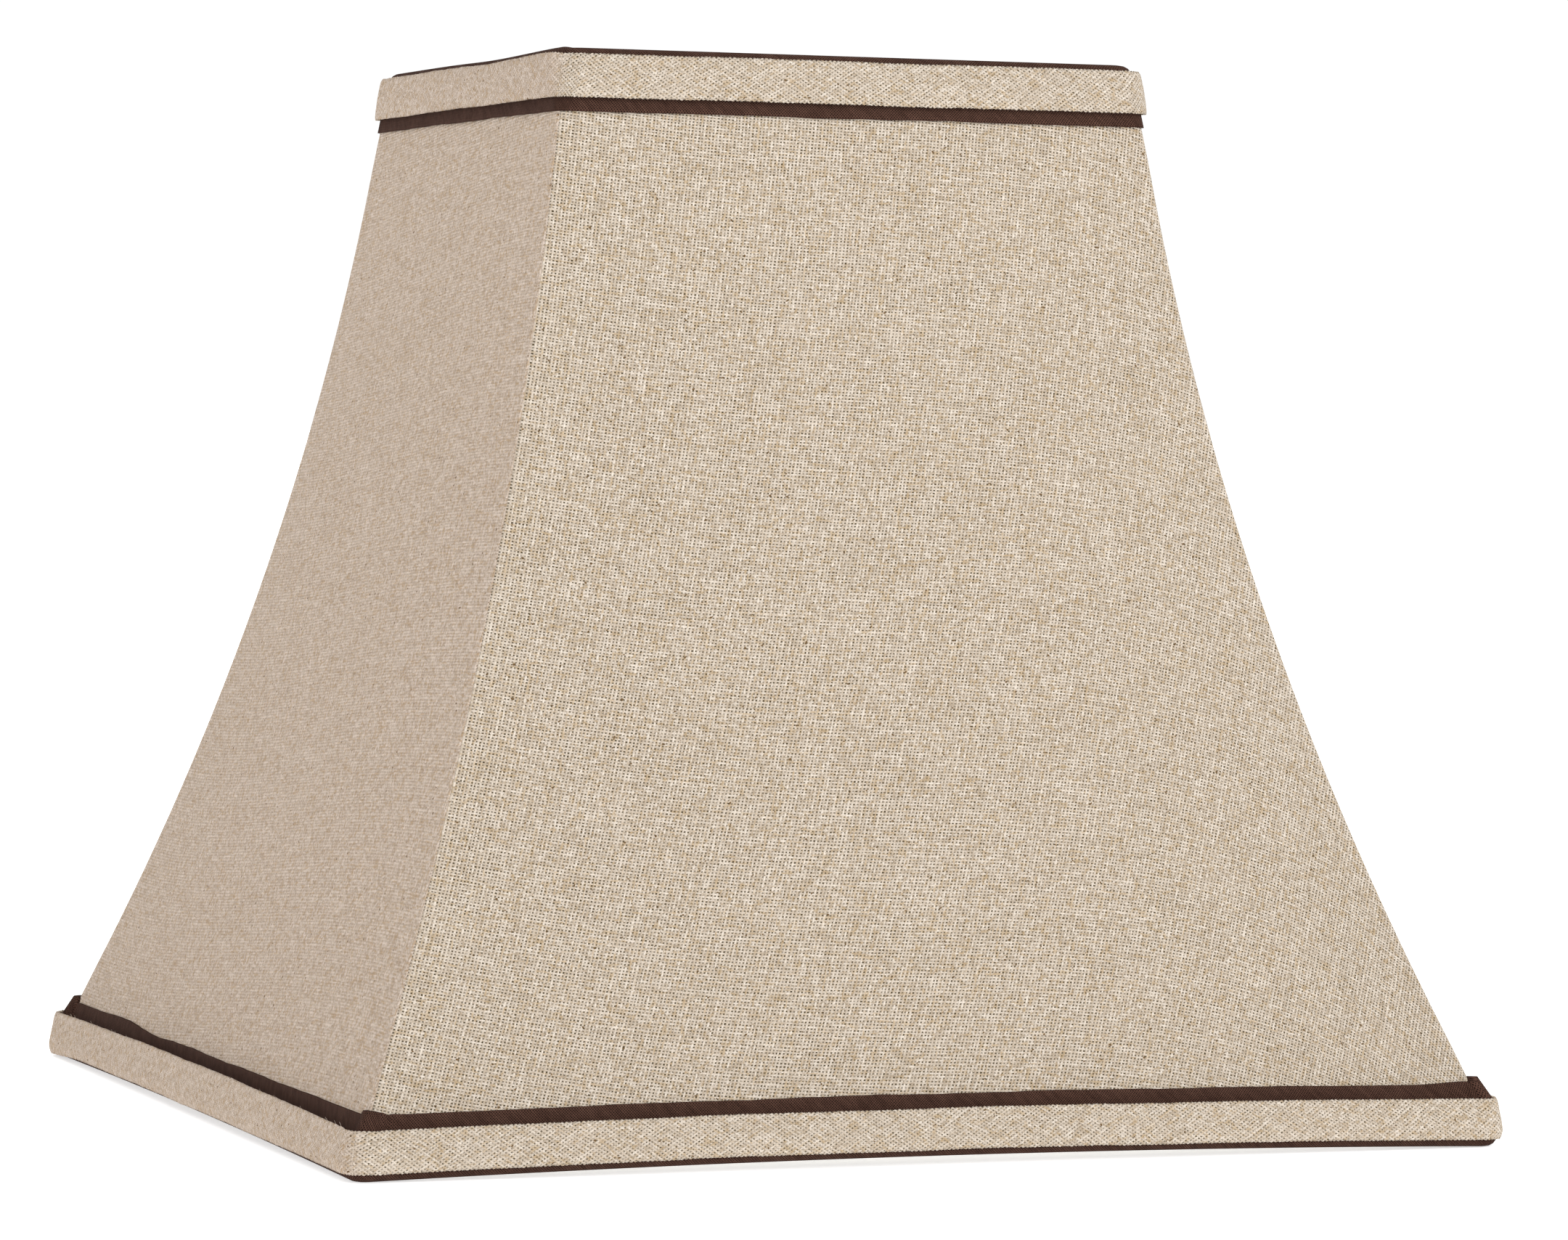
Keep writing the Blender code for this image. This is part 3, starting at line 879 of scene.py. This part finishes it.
def linen_threads(graph, u, v, warp_share, luck):
    """Colour of the threads: streaks along them, golden slubs, a few dark flecks, and a painted shade
    tint on the left side.
    """
    warp_tone = graph.streaks(u, v, 1.1, 0.5, 3.5, 3.0)
    weft_tone = graph.streaks(u, v, 0.5, 1.1, 5.5, 3.0)
    tone = graph.blend(warp_share, weft_tone, warp_tone)
    tone = graph.math("MULTIPLY_ADD", luck, FLOAT_CONTRAST, tone)
    tone = graph.range(tone, 0.32 + FLOAT_CONTRAST * 0.4, 0.68 + FLOAT_CONTRAST * 0.6)
    thread = graph.mix(tone, COLOURS["linen dark"], COLOURS["linen light"])
    slub_warp = graph.range(graph.streaks(u, v, 1.1, 0.4, 11.5, 1.0), 0.58, 0.7)
    slub_weft = graph.range(graph.streaks(u, v, 0.4, 1.1, 14.5, 1.0), 0.58, 0.7)
    slub = graph.math("MULTIPLY", graph.math("MAXIMUM", slub_warp, slub_weft), 0.5)
    thread = graph.mix(slub, thread, COLOURS["linen slub"])
    fleck = graph.range(graph.noise(graph.vector(u, v, 3.0), 0.65, 1.0), 0.72, 0.75)
    thread = graph.mix(fleck, thread, COLOURS["linen fleck"])
    # Painted shade: where gap shading is low, on the left side, the threads are tinted darker and
    # pinker.
    closed = graph.range(graph.gap_shading(), 0.4, 0.9, 1.0, 0.0)
    return graph.mix(closed, thread, COLOURS["left side painted shade"], blend="MULTIPLY")


def linen_material(name, gaps):
    """Loose oatmeal linen: uneven fuzzy threads with painted shade in the gaps between them."""
    graph = Graph(name)
    u, v = graph.threads()
    height, warp_share, hole_luck, float_luck = plain_weave(graph, u, v, 0.6)
    painted_gap_shade = linen_gaps(graph, u, v, height, hole_luck, gaps)
    thread = linen_threads(graph, u, v, warp_share, float_luck)
    # Painted shade fills the gaps between the threads.
    colour = graph.mix(painted_gap_shade, thread, COLOURS["linen gap shade"])
    fuzz = graph.noise(graph.vector(u, v, 9.0), 3.0, 3.0)
    relief = graph.math("MULTIPLY_ADD", fuzz, 1.2, height)
    relief = graph.math("MULTIPLY", relief, graph.range(graph.gap_shading(), 0, 1, 0.35, 1.0))
    graph.bump(relief, RELIEFS["linen"])
    return graph.finish(
        Base_Color=colour, Roughness=0.92, Sheen_Weight=0.05, Specular_IOR_Level=0.12
    )


def tape_material():
    """Dark brown bias tape, a fine close matt weave, with painted shade in the hollows between its
    threads.
    """
    graph = Graph("brown_tape_look")
    u, v = graph.threads()
    height, *_ = plain_weave(graph, u, v, 0.4)
    dust = graph.noise(graph.vector(u, v, 2.0), 0.12, 4.0)
    tone = graph.range(graph.streaks(u, v, 0.7, 0.12, 4.5), 0.25, 0.75)
    thread = graph.mix(tone, COLOURS["tape dark"], COLOURS["tape light"])
    thread = graph.mix(graph.range(dust, 0.5, 0.8, 0, 0.25), thread, COLOURS["tape dust"])
    # Painted shade: the weave's low hollows are darkened towards the shade colour.
    lit = graph.range(height, -0.5, 0.8, smooth=True)
    colour = graph.mix(lit, COLOURS["tape hollow shade"], thread)
    graph.bump(height, RELIEFS["tape"])
    return graph.finish(Base_Color=colour, Roughness=0.85, Specular_IOR_Level=0.04)


def lining_material():
    """Smooth off-white lining, a very fine weave."""
    graph = Graph("lining_cloth_look")
    u, v = graph.threads()
    height, *_ = plain_weave(graph, u, v, 0.4)
    clouds = graph.noise(graph.vector(u, v), 0.02, 3.0)
    colour = graph.mix(clouds, COLOURS["lining dark"], COLOURS["lining light"])
    graph.bump(height, RELIEFS["lining"])
    return graph.finish(
        Base_Color=colour, Roughness=0.6, Sheen_Weight=0.15, Specular_IOR_Level=0.35
    )


def wire_material():
    """Nickel-plated wire, with fine drawing marks and slight dulling."""
    graph = Graph("nickel_wire_look")
    place = graph.add("ShaderNodeTexCoord").outputs["Object"]
    marks = graph.noise(place, 2500.0, 2.0)
    dulling = graph.noise(place, 60.0, 3.0)
    graph.bump(marks, RELIEFS["wire"], 0.4)
    return graph.finish(
        Base_Color=COLOURS["nickel"],
        Metallic=1.0,
        Roughness=graph.range(dulling, 0.3, 0.7, 0.22, 0.42),
    )


def floor_material():
    """A white sheet, lit a little from behind."""
    graph = Graph("pale_floor_look")
    place = graph.add("ShaderNodeTexCoord").outputs["Object"]
    tone = graph.noise(place, 3.0, 2.0)
    colour = graph.mix(tone, COLOURS["floor dark"], COLOURS["floor light"])
    return graph.finish(
        Base_Color=colour,
        Roughness=0.9,
        Emission_Color=(1, 1, 1, 1),
        Emission_Strength=FLOOR_GLOW,
    )


# Stage


def make_floor():
    bpy.ops.mesh.primitive_circle_add(vertices=96, radius=FLOOR_RADIUS, fill_type="NGON")
    floor = bpy.context.active_object
    floor.name = "floor"
    floor.data.materials.append(floor_material())


def make_world():
    world = bpy.data.worlds.new("studio")
    world.use_nodes = True
    background = world.node_tree.nodes["Background"]
    background.inputs["Color"].default_value = (1.0, 1.0, 1.0, 1.0)
    background.inputs["Strength"].default_value = WORLD_STRENGTH
    bpy.context.scene.world = world


def make_light(name, place, power, size):
    """A soft square light that faces the shade."""
    data = bpy.data.lights.new(name, "AREA")
    data.energy = power
    data.size = size
    light = bpy.data.objects.new(name, data)
    light.location = place
    facing = Vector(KEY_TARGET) - Vector(place)
    light.rotation_euler = facing.to_track_quat("-Z", "Y").to_euler()
    bpy.context.scene.collection.objects.link(light)


def make_camera():
    data = bpy.data.cameras.new("camera")
    data.sensor_width = SENSOR_WIDTH
    data.lens = FOCAL_PIXELS / PICTURE_WIDTH * SENSOR_WIDTH
    data.shift_x, data.shift_y = CAMERA_SHIFT
    data.clip_start = CLIP_START
    camera = bpy.data.objects.new("camera", data)
    turn = Matrix.Rotation(-CAMERA_YAW, 4, "Z") @ Matrix.Rotation(
        math.radians(90) + CAMERA_PITCH, 4, "X"
    )
    camera.matrix_world = (
        Matrix.Translation(CAMERA_PLACE) @ turn @ Matrix.Rotation(CAMERA_ROLL, 4, "Z")
    )
    bpy.context.scene.collection.objects.link(camera)
    bpy.context.scene.camera = camera


def main():
    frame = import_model()
    rng = random.Random(SEED)
    wall = Wall()
    panel_linen = linen_material("panel_linen_look", PANEL_GAPS)
    band_linen = linen_material("band_linen_look", BAND_GAPS)
    tape = tape_material()
    make_panels(wall, panel_linen)
    make_lining(wall, lining_material())
    for at_top in (False, True):
        make_tape(wall, at_top, tape)
        make_band(wall, at_top, band_linen, rng)
    make_fibres(wall, band_linen, rng)
    nickel = wire_material()
    for name, node in frame["nodes"].items():
        if not node.hide_render:
            node.data.materials.clear()
            node.data.materials.append(nickel)
    make_floor()
    make_world()
    make_light("key", KEY_PLACE, KEY_POWER, KEY_SIZE)
    make_camera()
    bpy.context.scene.view_settings.view_transform = "Standard"


main()
